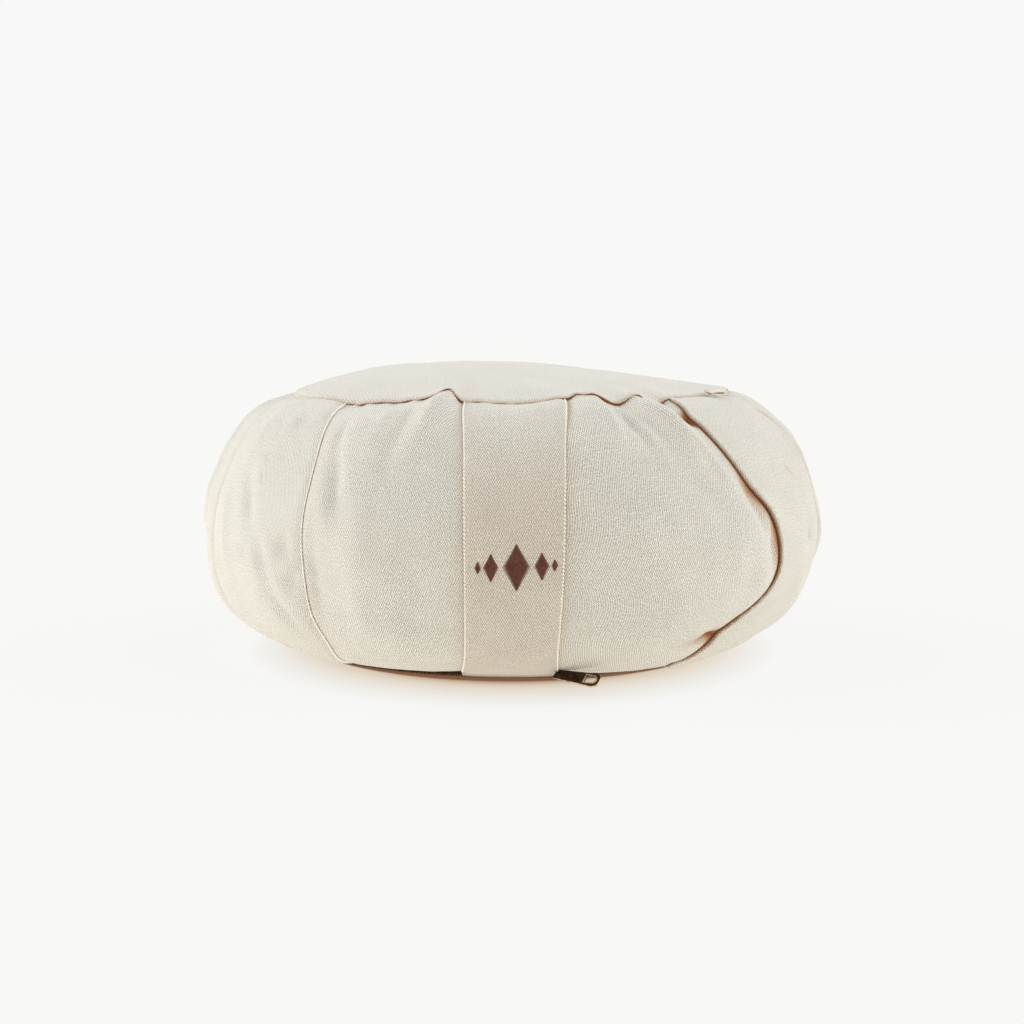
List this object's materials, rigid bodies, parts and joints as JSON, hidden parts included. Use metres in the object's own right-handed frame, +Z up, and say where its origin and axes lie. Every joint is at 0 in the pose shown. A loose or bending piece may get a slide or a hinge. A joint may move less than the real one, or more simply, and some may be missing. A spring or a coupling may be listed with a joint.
{
  "type": "round zafu meditation cushion",
  "caption": "Round, firmly filled canvas floor cushion with a crowned top, a bulging wall of raised strips and a zip in its bottom seam, for sitting in meditation.",
  "frame": {"origin": "centre of the flat base, on the surface that the cushion rests on", "axes": "+Z up through the crown, -Y towards the front strip, +X towards the strip with the open fold"},
  "size_m": [0.3626, 0.3513, 0.1676],
  "materials": {
    "canvas": "coarse plain-weave natural cotton canvas, matte",
    "strip_canvas": "coarse plain-weave natural cotton canvas, edge-stitched, matte",
    "zip_coil": "brown coil zip, matte",
    "zip_metal": "dark antique brass, worn bright on its rims",
    "tab_cloth": "plain woven tape, greyish, matte"
  },
  "bodies": {
    "root": {"cushion": "canvas", "band_front": "strip_canvas", "band_right": "strip_canvas", "band_right_rear": "strip_canvas", "band_back": "strip_canvas", "band_left_rear": "strip_canvas", "band_left": "strip_canvas", "zip_chain": "zip_coil", "zip_slider": "zip_metal", "zip_pull": "zip_metal", "seam_tab": "tab_cloth"}
  },
  "joints": []
}
